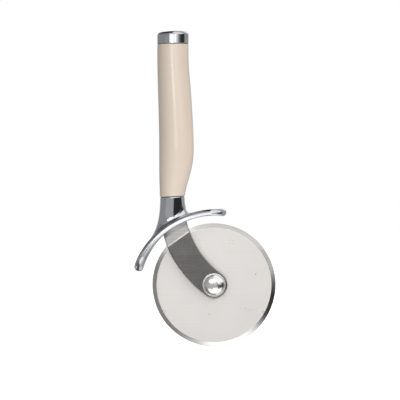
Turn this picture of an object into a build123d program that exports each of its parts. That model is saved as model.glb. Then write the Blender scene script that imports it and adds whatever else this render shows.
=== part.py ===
from build123d import *
import math
import os

os.makedirs("parts", exist_ok=True)

# A hand-held pastry cutter wheel, in millimetres. X runs forward, Y along the axle and Z up the handle.
# Every shape is drawn about the axle, then lifted by the blade's radius, so the finished model rolls
# on Z = 0 and its origin is the point where the rim meets the worktop. The front is the -Y side.

# ---- driving dimensions ----

BLADE_RADIUS = 45.0
BLADE_THICKNESS = 1.2
BLADE_BEVEL = 3.0
BLADE_EDGE = 0.24
BLADE_BORE_RADIUS = 4.5

BUSH_FLANGE_RADIUS = 7.0
BUSH_FLANGE = 1.0
BUSH_PRESS_GAP = 0.02
RUNNING_CLEARANCE = 0.05
SIDE_CLEARANCE = 0.1
BUSH_CHAMFER = 0.25

AXLE_RADIUS = 2.5
AXLE_HEAD_RADIUS = 5.0
AXLE_HEAD = 1.0
SCREW_RADIUS = 1.5
SCREW_LENGTH = 8.0
SCREW_SLOT = 0.9
DOME_RADIUS = 8.5
DOME_FLANGE = 1.2
DOME_STEP = 0.8
DOME_RISE = 3.0
DOME_EASE = 0.25

SHEET = 1.5
FORK_FACE = 4.8
FORK_END_RADIUS = 9.65
FORK_BACK_RADIUS = 87.0
FORK_FRONT_RADIUS = 66.0
FORK_SWEEP_ANGLE = 54.0
BEND_BACK = (-34.4, 27.7)
BEND_FRONT = (-17.3, 40.0)
FACET_FRONT = ((-18.6, 41.0), (-19.8, 45.2), (-20.4, 50.0))
FACET_BACK = ((-38.6, 41.4),)
JOGGLE_DROP = 2.2
JOGGLE_RUN = 10.0
BEND_RADIUS = 1.8
SHOULDER_GAP = 0.5
POCKET_CLEARANCE = 0.8
POCKET_FLOOR = 30.0
TONGUE_BOTTOM = 38.0

TANG_X = -30.45
TANG_HALF_WIDTH = 5.75
TANG_FOOT_BOTTOM = 47.2
TANG_FOOT_TOP = 59.0
TANG_ROD_RADIUS = 3.0
TANG_ROD_TOP = 168.6
RIVET_RADIUS = 1.5
RIVET_HEIGHTS = (50.5, 55.5)
ROD_CHAMFER = 0.8
SLIP = 0.15
FIT = 0.1

GUARD_CENTRE = (2.4, -10.5)
GUARD_RADIUS = 63.6
GUARD_THICKNESS = 4.6
GUARD_HALF_DEPTH = 12.0
GUARD_TIP_THICKNESS = 6.1
GUARD_TIP_REACH = 14.0
GUARD_FRONT_ANGLE = 84.0
GUARD_BACK_ANGLE = 160.6
GUARD_BACK_SWELL = 2.1
GUARD_SWELL_START = 0.05
GUARD_SWELL_RUN = 0.8
GUARD_BACK_CURL = 1.0
GUARD_CURL_START = 0.68
GUARD_PLACES = (0.999, 0.992, 0.975, 0.945, 0.90, 0.82, 0.68, 0.45, 0.15)

PARTING_Z = 64.5
PARTING_TILT = 3.0
GASKET = 0.4
GASKET_INSET = 0.35

CAP_JOINT_Z = 176.05
CAP_TOP_Z = 185.85
CAP_X = -30.05
CAP_RADIUS = 11.4
CAP_WALL = 0.8
CAP_CROWN_RADIUS = 70.0
CAP_CROWN_SHIFT = 3.5
CAP_SHOULDER = 2.6
CAP_RING = 0.4

SHELL_WALL = 2.5
NUT_WELL_RADIUS = 6.6
NUT_WELL_FLOOR = 158.0
WASHER_RADIUS = 6.2
WASHER = 1.2
LOCK_WASHER_RADIUS = 5.2
LOCK_WASHER = 1.4
LOCK_CUT = 0.8
LOCK_CUT_SLANT = 20.0
NUT_ACROSS_FLATS = 10.0
NUT_HEIGHT = 5.0
NUT_CHAMFER = 0.5
PLUG_RADIUS = 6.4
PLUG_BOTTOM = 170.0
PLUG_HEAD_TOP = 179.6
PLUG_WALL = 1.6
PLUG_BEAD_HEIGHT = 2.5
PLUG_BEAD_RADIUS = 0.5
PLUG_BEAD_SINK = 0.35
PLUG_SLIT = 1.2
PLUG_SLIT_HEIGHT = 3.5
DOWEL_RADIUS = 1.0
DOWEL_OFFSET = 4.6
DOWEL_DEPTH = 3.5

# Cutting shapes run past what they cut: flat ones by REACH, holes along the whole handle.
REACH = 400.0
OVERCUT = 5.0
HOLE_BOTTOM = 40.0
HOLE_TOP = 190.0

# Handle sections, evenly spaced from below the parting to the cap: back edge, front edge, half depth.
HANDLE_SECTION_STEP = 12.0
HANDLE_TOP_EASE = 0.02
HANDLE_SECTIONS = (
    (-39.25, -21.75, 8.70),
    (-39.70, -20.85, 9.10),
    (-40.00, -17.70, 9.95),
    (-40.08, -15.20, 10.75),
    (-40.10, -14.90, 11.05),
    (-40.28, -15.30, 11.15),
    (-40.58, -15.98, 11.22),
    (-40.90, -16.75, 11.28),
    (-41.24, -17.75, 11.33),
    (-41.47, -18.58, 11.36),
    (CAP_X - CAP_RADIUS, CAP_X + CAP_RADIUS, CAP_RADIUS - HANDLE_TOP_EASE),
)

# Bolster sections, from inside the guard up to the parting: back point, front point and half depth.
BOLSTER_SECTIONS = (
    ((-46.3, 33.3), (-14.3, 52.9), 10.8),
    ((-43.6, 38.2), (-17.9, 53.4), 9.8),
    ((-41.9, 42.2), (-19.4, 54.5), 9.2),
    ((-40.4, 47.0), (-20.7, 56.6), 8.9),
    ((-39.6, 54.0), (-21.4, 59.8), 8.8),
    ((-39.35, 64.05), (-21.6, 64.98), 8.85),
)

# ---- worked-out positions ----

BUSH_FACE = BLADE_THICKNESS / 2 + BUSH_FLANGE
FORK_INSIDE = FORK_FACE - SHEET
TONGUE_FACE = FORK_FACE - JOGGLE_DROP
TONGUE_INSIDE = TONGUE_FACE - SHEET
PARTING = Plane(origin=(TANG_X, 0, PARTING_Z), x_dir=(1, 0, math.tan(math.radians(PARTING_TILT))),
                z_dir=(-math.sin(math.radians(PARTING_TILT)), 0, math.cos(math.radians(PARTING_TILT))))


def polar(radius, degrees, centre=(0.0, 0.0)):
    """A point at a radius and angle about a centre in the X-Z plane."""
    angle = math.radians(degrees)
    return (centre[0] + radius * math.cos(angle), centre[1] + radius * math.sin(angle))


def bearing(point, centre):
    """The angle of a point seen from a centre in the X-Z plane."""
    return math.degrees(math.atan2(point[1] - centre[1], point[0] - centre[0])) % 360


def turned(*points):
    """A solid of revolution about the axle, from (radius, y) points."""
    return revolve(make_face(Polyline(*points, close=True)), Axis.Y)


def upright(radius, bottom, top, x=TANG_X, y=0.0):
    """A round bar standing along the handle."""
    return Pos(x, y, (bottom + top) / 2) * Cylinder(radius, top - bottom)


def long_hole(radius, x=TANG_X, y=0.0):
    """A round cut along the whole handle."""
    return upright(radius, HOLE_BOTTOM, HOLE_TOP, x, y)


def rear(solid):
    """The same shape on the far side of the blade."""
    return mirror(solid, about=Plane.XZ)


# ---- wheel ----

def blade():
    half = BLADE_THICKNESS / 2
    shoulder = BLADE_RADIUS - BLADE_BEVEL
    return turned((BLADE_BORE_RADIUS, -half), (shoulder, -half), (BLADE_RADIUS, -BLADE_EDGE / 2),
                  (BLADE_RADIUS, BLADE_EDGE / 2), (shoulder, half), (BLADE_BORE_RADIUS, half))


def hub_bush():
    """The front half of the flanged bush, pressed into the blade's bore as far as its middle."""
    bore = AXLE_RADIUS + RUNNING_CLEARANCE
    barrel = BLADE_BORE_RADIUS - BUSH_PRESS_GAP
    half = BLADE_THICKNESS / 2
    bush = turned((bore, -BUSH_FACE), (BUSH_FLANGE_RADIUS, -BUSH_FACE), (BUSH_FLANGE_RADIUS, -half),
                  (barrel, -half), (barrel, 0), (bore, 0))
    rim = bush.edges().filter_by(GeomType.CIRCLE).group_by(Axis.Y)[0].sort_by(SortBy.RADIUS)[-1]
    return chamfer(rim, BUSH_CHAMFER)


# ---- axle ----

def spacer_washer():
    face = BUSH_FACE + SIDE_CLEARANCE
    bore = AXLE_RADIUS + RUNNING_CLEARANCE
    return turned((bore, -FORK_INSIDE), (BUSH_FLANGE_RADIUS, -FORK_INSIDE), (BUSH_FLANGE_RADIUS, -face),
                  (bore, -face))


def axle_barrel():
    """A headed sleeve through both fork arms, open at the rear for the screw."""
    head = FORK_FACE + AXLE_HEAD
    bore = SCREW_RADIUS + RUNNING_CLEARANCE
    floor = FORK_FACE - SCREW_LENGTH - SLIP
    return turned((0, -head), (AXLE_HEAD_RADIUS, -head), (AXLE_HEAD_RADIUS, -FORK_FACE),
                  (AXLE_RADIUS, -FORK_FACE), (AXLE_RADIUS, FORK_FACE), (bore, FORK_FACE), (bore, floor),
                  (0, floor))


def axle_screw():
    """The screw that closes the sleeve from the rear, with a driver slot in its head."""
    head = FORK_FACE + AXLE_HEAD
    screw = turned((0, FORK_FACE - SCREW_LENGTH), (SCREW_RADIUS, FORK_FACE - SCREW_LENGTH),
                   (SCREW_RADIUS, FORK_FACE), (AXLE_HEAD_RADIUS, FORK_FACE), (AXLE_HEAD_RADIUS, head),
                   (0, head))
    slot = Pos(0, head, 0) * Box(2 * AXLE_HEAD_RADIUS, AXLE_HEAD, SCREW_SLOT)
    return screw - slot


def axle_dome():
    """A polished domed cap with a flat stepped rim, pressed over the head of the axle."""
    crown_radius = DOME_RADIUS - DOME_FLANGE
    step = FORK_FACE + DOME_STEP
    top = FORK_FACE + DOME_RISE
    hollow_radius = AXLE_HEAD_RADIUS + RUNNING_CLEARANCE
    hollow = FORK_FACE + AXLE_HEAD + RUNNING_CLEARANCE
    rise = top - step
    sphere = (crown_radius ** 2 + rise ** 2) / (2 * rise)
    half_angle = math.asin(crown_radius / sphere) / 2
    middle = (sphere * math.sin(half_angle), -(top - sphere + sphere * math.cos(half_angle)))
    outline = Polyline((0, -top), (0, -hollow), (hollow_radius, -hollow), (hollow_radius, -FORK_FACE),
                       (DOME_RADIUS, -FORK_FACE), (DOME_RADIUS, DOME_EASE - step),
                       (DOME_RADIUS - DOME_EASE, -step), (crown_radius, -step))
    crown = ThreePointArc((crown_radius, -step), middle, (0, -top))
    return revolve(make_face(outline + crown), Axis.Y)


# ---- fork ----

def bent_sheet():
    """A wide sheet in front of the blade that joggles inward above the bend line."""
    run = (BEND_FRONT[0] - BEND_BACK[0], BEND_FRONT[1] - BEND_BACK[1])
    middle = ((BEND_FRONT[0] + BEND_BACK[0]) / 2, (BEND_FRONT[1] + BEND_BACK[1]) / 2)
    across = Plane(origin=(middle[0], 0, middle[1]), x_dir=(-run[1], 0, run[0]), z_dir=(run[0], 0, run[1]))
    outside = FORK_FACE - SHEET / 2
    inside = TONGUE_FACE - SHEET / 2
    line = FilletPolyline((-BLADE_RADIUS * 2, outside), (0, outside), (JOGGLE_RUN, inside),
                          (BLADE_RADIUS * 2, inside), radius=BEND_RADIUS)
    return extrude(across * trace(line, SHEET), BLADE_RADIUS * 2, both=True)


def fork_outline():
    """The arm seen from the front: a curved limb about the axle, then a tongue into the bolster."""
    back_low = polar(-FORK_END_RADIUS, FORK_SWEEP_ANGLE)
    front_low = polar(FORK_END_RADIUS, FORK_SWEEP_ANGLE)
    back_centre = polar(FORK_BACK_RADIUS - FORK_END_RADIUS, FORK_SWEEP_ANGLE)
    front_centre = polar(FORK_FRONT_RADIUS + FORK_END_RADIUS, FORK_SWEEP_ANGLE)
    back_turn = bearing(BEND_BACK, back_centre)
    front_turn = bearing(BEND_FRONT, front_centre)
    start = FORK_SWEEP_ANGLE + 180
    back_top = polar(FORK_BACK_RADIUS, back_turn, back_centre)
    front_top = polar(FORK_FRONT_RADIUS, front_turn, front_centre)
    back_mid = polar(FORK_BACK_RADIUS, (start + back_turn) / 2, back_centre)
    front_mid = polar(FORK_FRONT_RADIUS, (start + front_turn) / 2, front_centre)
    end_mid = polar(FORK_END_RADIUS, FORK_SWEEP_ANGLE - 90)
    limb = make_face(ThreePointArc(back_top, back_mid, back_low) + ThreePointArc(back_low, end_mid, front_low)
                     + ThreePointArc(front_low, front_mid, front_top)
                     + Polyline(front_top, *FACET_FRONT, *FACET_BACK, back_top))
    under_guard = Pos(*GUARD_CENTRE) * Circle(GUARD_RADIUS - GUARD_THICKNESS / 2 - SHOULDER_GAP)
    tongue = Pos(TANG_X, (TANG_FOOT_TOP + TONGUE_BOTTOM) / 2) * Rectangle(
        2 * TANG_HALF_WIDTH, TANG_FOOT_TOP - TONGUE_BOTTOM)
    outline = (limb & under_guard) + tongue
    hole = Circle(AXLE_RADIUS + RUNNING_CLEARANCE)
    rivet_holes = [Pos(TANG_X, z) * Circle(RIVET_RADIUS + RUNNING_CLEARANCE) for z in RIVET_HEIGHTS]
    return outline - hole - rivet_holes


def fork_arm():
    return bent_sheet() & extrude(Plane.XZ * fork_outline(), 2 * FORK_FACE)


# ---- tang ----

def tang_rod():
    """The forged tie bar: a flat foot between the two tongues and a round rod up the handle."""
    height = TANG_FOOT_TOP - TANG_FOOT_BOTTOM
    foot = Pos(TANG_X, 0, (TANG_FOOT_TOP + TANG_FOOT_BOTTOM) / 2) * Box(2 * TANG_HALF_WIDTH,
                                                                        2 * TONGUE_INSIDE, height)
    rod = upright(TANG_ROD_RADIUS, TANG_FOOT_TOP, TANG_ROD_TOP)
    tip = rod.edges().filter_by(GeomType.CIRCLE).sort_by(Axis.Z)[-1]
    rod = chamfer(tip, ROD_CHAMFER)
    holes = [Pos(TANG_X, 0, z) * Rot(90, 0, 0) * Cylinder(RIVET_RADIUS + RUNNING_CLEARANCE, 4 * TONGUE_FACE)
             for z in RIVET_HEIGHTS]
    return foot + rod - holes


def tang_rivets():
    """Two flush rivets through the tongues and the foot of the tang."""
    return Compound(children=[Pos(TANG_X, 0, z) * Rot(90, 0, 0) * Cylinder(RIVET_RADIUS, 2 * TONGUE_FACE)
                              for z in RIVET_HEIGHTS])


# ---- guard and bolster ----

def rounded_end(distance, radius):
    """The share of full size at a distance from a half-round end."""
    return math.sqrt(1 - max(0.0, 1 - distance / radius) ** 2)


def smooth_step(value):
    value = min(1.0, max(0.0, value))
    return value * value * (3 - 2 * value)


def guard_section(place):
    """A rounded section of the guard at a place from -1, its front tip, to 1, its back tip."""
    middle = (GUARD_FRONT_ANGLE + GUARD_BACK_ANGLE) / 2
    half_span = (GUARD_BACK_ANGLE - GUARD_FRONT_ANGLE) / 2
    angle = middle + half_span * place
    from_tip = (1 - abs(place)) * math.radians(half_span) * GUARD_RADIUS
    front_swell = (GUARD_TIP_THICKNESS - GUARD_THICKNESS) * max(0.0, 1 - from_tip / GUARD_TIP_REACH) ** 2
    back_swell = GUARD_BACK_SWELL * smooth_step((place - GUARD_SWELL_START) / GUARD_SWELL_RUN)
    thickness = GUARD_THICKNESS + (front_swell if place < 0 else back_swell)
    thickness *= rounded_end(from_tip, GUARD_TIP_THICKNESS / 2)
    depth = GUARD_HALF_DEPTH * rounded_end(from_tip, GUARD_HALF_DEPTH)
    curl = GUARD_BACK_CURL * (max(0.0, place - GUARD_CURL_START) / (1 - GUARD_CURL_START)) ** 2
    x, z = polar(GUARD_RADIUS - back_swell / 2 - curl, angle, GUARD_CENTRE)
    turn = math.radians(angle)
    across = Plane(origin=(x, 0, z), x_dir=(0, 1, 0), z_dir=(-math.sin(turn), 0, math.cos(turn)))
    return across * SlotOverall(2 * depth, thickness)


def guard_band():
    """The curved finger guard, lofted through sections that crowd together at its rounded tips."""
    places = [-place for place in GUARD_PLACES] + list(reversed(GUARD_PLACES))
    return loft([guard_section(place) for place in places])


def bolster_section(back, front, half_depth):
    """An oval across the bolster, on the slant between its back and front edge."""
    width = math.dist(back, front)
    centre = ((back[0] + front[0]) / 2, (back[1] + front[1]) / 2)
    along = (front[0] - back[0], 0, front[1] - back[1])
    across = Plane(origin=(centre[0], 0, centre[1]), x_dir=along, z_dir=(-along[2], 0, along[0]))
    return across * Ellipse(width / 2, half_depth)


def slanted_slab(height, thickness):
    """A thick slab whose lower face is the parting plane lifted by a height."""
    return PARTING * Pos(0, 0, height + thickness / 2) * Box(REACH, REACH, thickness)


def dowel_places():
    return [(TANG_X - DOWEL_OFFSET, 0.0), (TANG_X + DOWEL_OFFSET, 0.0)]


def guard_bolster():
    """The chromed casting: guard and bolster in one, with a pocket for the tongues and a rod hole."""
    neck = loft([bolster_section(*section) for section in BOLSTER_SECTIONS])
    casting = guard_band() + (neck - slanted_slab(-GASKET / 2, REACH))
    pocket_top = TANG_FOOT_TOP + SLIP
    pocket = Pos(TANG_X, 0, (pocket_top + POCKET_FLOOR) / 2) * Box(
        2 * (TANG_HALF_WIDTH + SLIP), 2 * (TONGUE_FACE + POCKET_CLEARANCE), pocket_top - POCKET_FLOOR)
    rod_hole = upright(TANG_ROD_RADIUS + SLIP, TANG_FOOT_TOP, HOLE_TOP)
    dowel_holes = [upright(DOWEL_RADIUS + RUNNING_CLEARANCE, PARTING_Z - DOWEL_DEPTH - SLIP, HOLE_TOP, x, y)
                   for x, y in dowel_places()]
    return casting - pocket - rod_hole - dowel_holes


# ---- handle ----

def handle_body(inset):
    """The handle's outer form, drawn in by an inset all round."""
    ovals = []
    height = CAP_JOINT_Z
    for back, front, half_depth in reversed(HANDLE_SECTIONS):
        oval = Ellipse((front - back) / 2 - inset, half_depth - inset)
        ovals.append(Pos((front + back) / 2, 0, height) * oval)
        height -= HANDLE_SECTION_STEP
    return loft(ovals) - slanted_slab(GASKET / 2 - REACH, REACH)


def handle_grip():
    """The glossy outer shell of the handle."""
    return handle_body(0) - handle_body(SHELL_WALL)


def handle_core():
    """The moulded core inside the shell, bored for the tang, with a well for the nut at its top."""
    core = handle_body(SHELL_WALL + FIT)
    bore = long_hole(TANG_ROD_RADIUS + SLIP)
    well = upright(NUT_WELL_RADIUS, NUT_WELL_FLOOR, HOLE_TOP)
    dowel_top = PARTING_Z + DOWEL_DEPTH + SLIP
    dowel_holes = [upright(DOWEL_RADIUS + RUNNING_CLEARANCE, HOLE_BOTTOM, dowel_top, x, y)
                   for x, y in dowel_places()]
    return core - bore - well - dowel_holes


def bolster_gasket():
    """A thin dark gasket between bolster and handle, set back a little from both."""
    back, front, half_depth = BOLSTER_SECTIONS[-1]
    width = math.dist(back, front) / 2 - GASKET_INSET
    sheet = PARTING * Pos(0, 0, -GASKET / 2) * extrude(Ellipse(width, half_depth - GASKET_INSET), GASKET)
    holes = [long_hole(TANG_ROD_RADIUS + SLIP)]
    holes += [long_hole(DOWEL_RADIUS + RUNNING_CLEARANCE, x, y) for x, y in dowel_places()]
    return sheet - holes


def handle_dowels():
    """Two small pins that stop the handle turning on the bolster."""
    return Compound(children=[upright(DOWEL_RADIUS, PARTING_Z - DOWEL_DEPTH, PARTING_Z + DOWEL_DEPTH, x, y)
                              for x, y in dowel_places()])


def tie_washer():
    ring = upright(WASHER_RADIUS, NUT_WELL_FLOOR, NUT_WELL_FLOOR + WASHER)
    return ring - long_hole(TANG_ROD_RADIUS + RUNNING_CLEARANCE)


def lock_washer():
    """A split spring washer, with its cut open."""
    bottom = NUT_WELL_FLOOR + WASHER
    ring = upright(LOCK_WASHER_RADIUS, bottom, bottom + LOCK_WASHER)
    cut = Pos(TANG_X + LOCK_WASHER_RADIUS, 0, bottom) * Rot(LOCK_CUT_SLANT, 0, 0) * Box(
        LOCK_WASHER_RADIUS, LOCK_CUT, 5 * LOCK_WASHER)
    return ring - long_hole(TANG_ROD_RADIUS + RUNNING_CLEARANCE) - cut


def tie_nut():
    """The hexagon nut that pulls cap end, handle and bolster together."""
    bottom = NUT_WELL_FLOOR + WASHER + LOCK_WASHER
    hexagon = RegularPolygon(NUT_ACROSS_FLATS / 2, 6, major_radius=False)
    prism = Pos(TANG_X, 0, bottom) * extrude(hexagon, NUT_HEIGHT)
    corner_radius = NUT_ACROSS_FLATS / math.sqrt(3)
    rounder = upright(corner_radius, bottom, bottom + NUT_HEIGHT)
    rims = rounder.edges().filter_by(GeomType.CIRCLE)
    rounder = chamfer(rims, NUT_CHAMFER)
    return (prism & rounder) - long_hole(TANG_ROD_RADIUS + RUNNING_CLEARANCE)


# ---- end cap ----

def cap_form(inset):
    """A round band with a shallow crown whose highest point sits forward of the middle."""
    band = upright(CAP_RADIUS - inset, CAP_JOINT_Z + CAP_RING, CAP_TOP_Z + OVERCUT, CAP_X)
    crown_centre = Pos(CAP_X + CAP_CROWN_SHIFT, 0, CAP_TOP_Z - CAP_CROWN_RADIUS)
    form = band & (crown_centre * Rot(90, 0, 0) * Sphere(CAP_CROWN_RADIUS - inset))
    rims = form.edges().filter_by(lambda edge: edge.length > CAP_RADIUS * math.pi)
    return fillet(rims.sort_by(Axis.Z)[-1], CAP_SHOULDER - inset)


def end_cap_shell():
    return cap_form(0) - cap_form(CAP_WALL)


def end_cap_plug():
    """The plug that carries the cap: a head that fills it and a stem that snaps into the nut well."""
    head = upright(CAP_RADIUS - CAP_WALL - FIT, CAP_JOINT_Z + CAP_RING, PLUG_HEAD_TOP, CAP_X)
    stem = upright(PLUG_RADIUS, PLUG_BOTTOM, CAP_JOINT_Z + CAP_RING)
    bead_ring = Torus(PLUG_RADIUS - PLUG_BEAD_SINK, PLUG_BEAD_RADIUS)
    bead = Pos(TANG_X, 0, PLUG_BOTTOM + PLUG_BEAD_HEIGHT) * bead_ring
    hollow = upright(PLUG_RADIUS - PLUG_WALL, PLUG_BOTTOM, CAP_JOINT_Z)
    slit = Pos(TANG_X, 0, PLUG_BOTTOM) * Box(PLUG_SLIT, 3 * PLUG_RADIUS, 2 * PLUG_SLIT_HEIGHT)
    return head + stem + bead - hollow - slit


def cap_seal_ring():
    """A thin dark ring under the cap that shows as a shadow line."""
    ring = upright(CAP_RADIUS - GASKET_INSET, CAP_JOINT_Z, CAP_JOINT_Z + CAP_RING, CAP_X)
    return ring - long_hole(PLUG_RADIUS + SLIP)


def write(node, solid):
    """Lift a part so that the rim rests on Z = 0, and save it."""
    export_step(Pos(0, 0, BLADE_RADIUS) * solid, f"parts/{node}.step")


write("blade", blade())
write("front_hub_bush", hub_bush())
write("rear_hub_bush", rear(hub_bush()))
write("front_spacer_washer", spacer_washer())
write("rear_spacer_washer", rear(spacer_washer()))
write("axle_barrel", axle_barrel())
write("axle_screw", axle_screw())
write("front_axle_dome", axle_dome())
write("rear_axle_dome", rear(axle_dome()))
write("front_fork_arm", fork_arm())
write("rear_fork_arm", rear(fork_arm()))
write("tang_rod", tang_rod())
write("tang_rivets", tang_rivets())
write("guard_bolster", guard_bolster())
write("bolster_gasket", bolster_gasket())
write("handle_dowels", handle_dowels())
write("handle_grip", handle_grip())
write("handle_core", handle_core())
write("tie_washer", tie_washer())
write("lock_washer", lock_washer())
write("tie_nut", tie_nut())
write("cap_seal_ring", cap_seal_ring())
write("end_cap_plug", end_cap_plug())
write("end_cap_shell", end_cap_shell())
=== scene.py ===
"""Looks of the pastry cutter wheel: meshes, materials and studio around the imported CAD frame.

Lengths in this script are millimetres about the axle, X forward, Y along the axle and Z up the handle;
mesh_piece turns them into metres in the shared frame. The front is the -Y side. The studio is in metres.
"""
import math

import bmesh
import bpy
import numpy as np
from mathutils import Matrix, Vector


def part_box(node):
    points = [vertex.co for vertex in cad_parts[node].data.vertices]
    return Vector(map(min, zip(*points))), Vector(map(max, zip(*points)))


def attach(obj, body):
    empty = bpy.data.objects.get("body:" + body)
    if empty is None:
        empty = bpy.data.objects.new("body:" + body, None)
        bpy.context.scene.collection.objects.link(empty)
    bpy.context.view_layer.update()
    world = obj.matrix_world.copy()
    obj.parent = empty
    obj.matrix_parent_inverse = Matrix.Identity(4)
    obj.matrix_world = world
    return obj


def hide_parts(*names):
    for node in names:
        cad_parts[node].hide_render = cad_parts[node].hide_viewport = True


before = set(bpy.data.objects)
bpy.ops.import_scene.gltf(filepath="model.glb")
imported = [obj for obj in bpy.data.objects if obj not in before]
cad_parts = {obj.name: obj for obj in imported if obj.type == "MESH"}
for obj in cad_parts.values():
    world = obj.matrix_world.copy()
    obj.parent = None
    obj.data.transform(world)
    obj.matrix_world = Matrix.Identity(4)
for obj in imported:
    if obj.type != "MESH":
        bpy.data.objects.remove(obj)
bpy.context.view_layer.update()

MM = 0.001
FULL_TURN = 2 * math.pi

# ---- measures from the frame ----

blade_low, blade_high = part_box("blade")
AXLE = (blade_low + blade_high) / 2


def local_box(node):
    """A CAD node's lowest and highest corner, in millimetres about the axle."""
    low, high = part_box(node)
    return (low - AXLE) / MM, (high - AXLE) / MM


BLADE_RADIUS = local_box("blade")[1].x
BLADE_HALF = local_box("blade")[1].y
DOME_LOW, DOME_HIGH = local_box("front_axle_dome")
DOME_RADIUS = DOME_HIGH.x
FORK_FACE = -DOME_HIGH.y
DOME_TOP = -DOME_LOW.y
CAP_LOW, CAP_HIGH = local_box("end_cap_shell")
CAP_RADIUS = (CAP_HIGH.y - CAP_LOW.y) / 2
CAP_X = (CAP_LOW.x + CAP_HIGH.x) / 2
GRIP_TOP = local_box("handle_grip")[1].z
GASKET_LOW, GASKET_HIGH = local_box("bolster_gasket")
PARTING = ((GASKET_LOW.x + GASKET_HIGH.x) / 2, (GASKET_LOW.z + GASKET_HIGH.z) / 2)
PARTING_TILT = math.radians(3.0)
GASKET_HALF = 0.2


# ---- mesh helpers ----

CORNER_STEPS = 5


def mesh_piece(name, points, faces, materials, body, replaced, face_material=None):
    """A smooth mesh from millimetre points, riding on a body and standing for the CAD nodes it replaces."""
    mesh = bpy.data.meshes.new(name)
    metres = [tuple(AXLE + Vector(point) * MM) for point in points]
    mesh.from_pydata(metres, [], faces)
    for material in materials:
        mesh.materials.append(material)
    if face_material is not None:
        mesh.polygons.foreach_set("material_index", face_material)
    mesh.polygons.foreach_set("use_smooth", [True] * len(mesh.polygons))
    mesh.validate()
    piece = bpy.data.objects.new(name, mesh)
    bpy.context.scene.collection.objects.link(piece)
    outward(piece)
    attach(piece, body)
    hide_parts(*replaced)
    return piece


def outward(piece):
    """Turn every face to point out of its solid."""
    work = bmesh.new()
    work.from_mesh(piece.data)
    bmesh.ops.recalc_face_normals(work, faces=work.faces)
    work.to_mesh(piece.data)
    work.free()


def metre_matrix():
    """The way from millimetres about the axle to metres in the shared frame."""
    return Matrix.Translation(AXLE) @ Matrix.Diagonal((MM, MM, MM, 1))


def shade(piece, degrees):
    """Smooth shading with hard edges above an angle."""
    piece.data.polygons.foreach_set("use_smooth", [True] * len(piece.data.polygons))
    work = bmesh.new()
    work.from_mesh(piece.data)
    for edge in work.edges:
        edge.smooth = len(edge.link_faces) != 2 or edge.calc_face_angle(0) < math.radians(degrees)
    work.to_mesh(piece.data)
    work.free()


def ring_faces(rows, columns, closed=False):
    """Quads between successive rings of points; closed joins the last ring to the first."""
    faces = []
    for row in range(rows if closed else rows - 1):
        here = row * columns
        there = ((row + 1) % rows) * columns
        for column in range(columns):
            after = (column + 1) % columns
            faces.append((here + column, here + after, there + after, there + column))
    return faces


def fan_faces(first, columns, tip):
    """Triangles from a ring of points to one tip point."""
    return [(first + column, first + (column + 1) % columns, tip) for column in range(columns)]


def eased(corners):
    """A closed outline of (a, b, radius) corners with each corner rounded by an arc."""
    points = []
    count = len(corners)
    for index, (a, b, radius) in enumerate(corners):
        corner = Vector((a, b))
        if radius == 0:
            points.append(corner)
            continue
        before = Vector(corners[index - 1][:2]) - corner
        after = Vector(corners[(index + 1) % count][:2]) - corner
        half = before.angle(after) / 2
        reach = radius / math.tan(half)
        centre = corner + (before.normalized() + after.normalized()).normalized() * (radius / math.sin(half))
        first = corner + before.normalized() * reach - centre
        last = corner + after.normalized() * reach - centre
        turn = first.angle_signed(last)
        for step in range(CORNER_STEPS + 1):
            angle = -turn * step / CORNER_STEPS
            c, s = math.cos(angle), math.sin(angle)
            points.append(centre + Vector((first.x * c - first.y * s, first.x * s + first.y * c)))
    return points


def turned_rings(outline, segments):
    """Points of an outline of (radius, y) turned about the axle."""
    points = []
    for radius, y in outline:
        for step in range(segments):
            angle = FULL_TURN * step / segments
            points.append((radius * math.cos(angle), y, radius * math.sin(angle)))
    return points


# ---- materials ----

# Noise runs from about NOISE_LOW to NOISE_HIGH. Clouds and grains are in cells a metre, depths in mm.
NOISE_LOW = 0.3
NOISE_HIGH = 0.7
BRUSHED_CLOUD = 60.0
BRUSH_DEPTH = 0.002
PLATING_CLOUD = 45.0
PLATING_DEPTH = 0.004
WIPE_GRAIN = 420.0
WIPE_STRETCH = (1, 1, 0.2)
WIPE_TURN = (0.3, 0.5, 0.2)
WIPE_GLOSS = (0.7, 1.4)
MOULDED_CLOUD = 25.0
SKIN_GRAIN = 2600.0
SKIN_DEPTH = 0.004
GLOSS_SPREAD = 0.03
SKIN_SPREAD = 0.04
COAT_ROUGHNESS = 0.08
BRUSH_DETAIL = 3.0
BRUSH_HARSHNESS = 0.6
WIPE_DETAIL = 4.0
SKIN_DETAIL = 3.0

# The way the fork arms leave the axle, which is also the way across their brush lines.
FORK_SWEEP = math.radians(54)


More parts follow.
